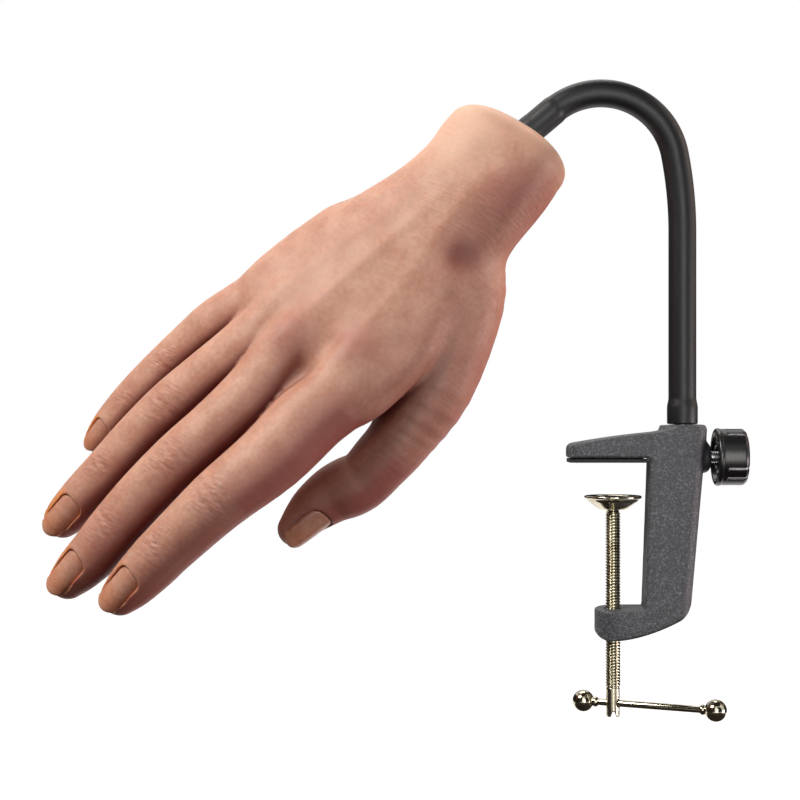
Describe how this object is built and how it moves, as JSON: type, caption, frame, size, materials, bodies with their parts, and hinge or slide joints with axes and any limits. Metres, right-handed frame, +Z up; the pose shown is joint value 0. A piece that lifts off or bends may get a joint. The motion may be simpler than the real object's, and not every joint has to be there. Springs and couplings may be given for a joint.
{
  "type": "nail practice hand",
  "caption": "Silicone practice hand with fitted nail tips on a bendable neck, held to a table edge by a screw clamp with a tommy bar and a locking knob.",
  "frame": {"origin": "where the clamp screw's axis meets the underside of the upper jaw's pad", "axes": "+Z up along the clamp screw, +X from the jaws' mouth towards the locking knob, -Y towards the viewer"},
  "size_m": [0.2442, 0.0598, 0.2165],
  "materials": {
    "clamp_paint": "satin black powder coat with a fine wrinkle grain",
    "pad_rubber": "matt moulded rubber",
    "nickel_plate": "bright nickel plate, warm",
    "zinc_steel": "zinc plated turned steel",
    "knob_plastic": "moulded black ABS, satin gloss",
    "neck_rubber": "smooth satin rubber sleeve",
    "skin_silicone": "matt skin-toned silicone with fine skin texture",
    "nail_acrylic": "satin natural nail tip",
    "insert_plastic": "moulded nylon"
  },
  "bodies": {
    "clamp": {"clamp_frame": "clamp_paint", "jaw_pad": "pad_rubber"},
    "pad_travel": {"swivel_pad": "nickel_plate"},
    "spindle": {"clamp_screw": "nickel_plate"},
    "handle_bar": {"tommy_bar": "nickel_plate", "tommy_ball_near": "nickel_plate", "tommy_ball_far": "nickel_plate"},
    "lock": {"lock_screw": "zinc_steel", "lock_knob": "knob_plastic"},
    "neck_foot": {"neck_pin": "zinc_steel", "neck_foot_sleeve": "neck_rubber"},
    "neck_1": {"neck_section_1": "neck_rubber"},
    "neck_2": {"neck_section_2": "neck_rubber"},
    "neck_3": {"neck_section_3": "neck_rubber"},
    "neck_4": {"neck_section_4": "neck_rubber"},
    "neck_5": {"neck_section_5": "neck_rubber"},
    "neck_6": {"neck_section_6": "neck_rubber"},
    "neck_7": {"neck_section_7": "neck_rubber"},
    "neck_top": {"neck_top_sleeve": "neck_rubber", "hand_stud": "zinc_steel"},
    "hand": {"hand_skin": "skin_silicone", "wrist_plug": "insert_plastic", "nail_index": "nail_acrylic", "nail_middle": "nail_acrylic", "nail_ring": "nail_acrylic", "nail_little": "nail_acrylic", "nail_thumb": "nail_acrylic"}
  },
  "joints": [
    {"name": "pad_travel", "type": "slide", "parent": "clamp", "child": "pad_travel", "axis": [0, 0, 1], "range_m": [-0.032, 0.011]},
    {"name": "screw_turn", "type": "hinge", "parent": "pad_travel", "child": "spindle", "pos_m": [0, 0, -0.05], "axis": [0, 0, 1], "range_deg": [-11530, 3970]},
    {"name": "bar_slide", "type": "slide", "parent": "spindle", "child": "handle_bar", "axis": [0.9063, -0.4226, 0], "range_m": [-0.028, 0.003]},
    {"name": "lock_turn", "type": "hinge", "parent": "clamp", "child": "lock", "pos_m": [0.0346, 0, 0.0017], "axis": [1, 0, 0], "range_deg": [-720, 0]},
    {"name": "neck_swivel", "type": "hinge", "parent": "clamp", "child": "neck_foot", "pos_m": [0.0236, 0, 0.0126], "axis": [0, 0, 1], "continuous": true},
    {"name": "neck_bend_1", "type": "hinge", "parent": "neck_foot", "child": "neck_1", "pos_m": [0.0236, 0, 0.0266], "axis": [0, 1, 0], "range_deg": [-3, 7.5]},
    {"name": "neck_bend_2", "type": "hinge", "parent": "neck_1", "child": "neck_2", "pos_m": [0.0236, 0, 0.04589], "axis": [0, 1, 0], "range_deg": [-3, 7.5]},
    {"name": "neck_bend_3", "type": "hinge", "parent": "neck_2", "child": "neck_3", "pos_m": [0.0236, 0, 0.06518], "axis": [0, 1, 0], "range_deg": [-3, 7.5]},
    {"name": "neck_bend_4", "type": "hinge", "parent": "neck_3", "child": "neck_4", "pos_m": [0.02345, 0, 0.08447], "axis": [0, 1, 0], "range_deg": [-3, 7.5]},
    {"name": "neck_bend_5", "type": "hinge", "parent": "neck_4", "child": "neck_5", "pos_m": [0.02124, 0, 0.10362], "axis": [0, 1, 0], "range_deg": [-3, 7.5]},
    {"name": "neck_bend_6", "type": "hinge", "parent": "neck_5", "child": "neck_6", "pos_m": [0.01175, 0, 0.1199], "axis": [0, 1, 0], "range_deg": [-3, 7.5]},
    {"name": "neck_bend_7", "type": "hinge", "parent": "neck_6", "child": "neck_7", "pos_m": [-0.00631, 0, 0.12524], "axis": [0, 1, 0], "range_deg": [-3, 7.5]},
    {"name": "neck_bend_8", "type": "hinge", "parent": "neck_7", "child": "neck_top", "pos_m": [-0.02331, 0, 0.11694], "axis": [0, 1, 0], "range_deg": [-3, 7.5]},
    {"name": "hand_roll", "type": "hinge", "parent": "neck_top", "child": "hand", "pos_m": [-0.0361, 0, 0.1062], "axis": [-0.766, 0, -0.6428], "range_deg": [-90, 90]}
  ],
  "couplings": [
    {"joint": "screw_turn", "follows": "pad_travel", "rad_per_m": 6283.2}
  ]
}
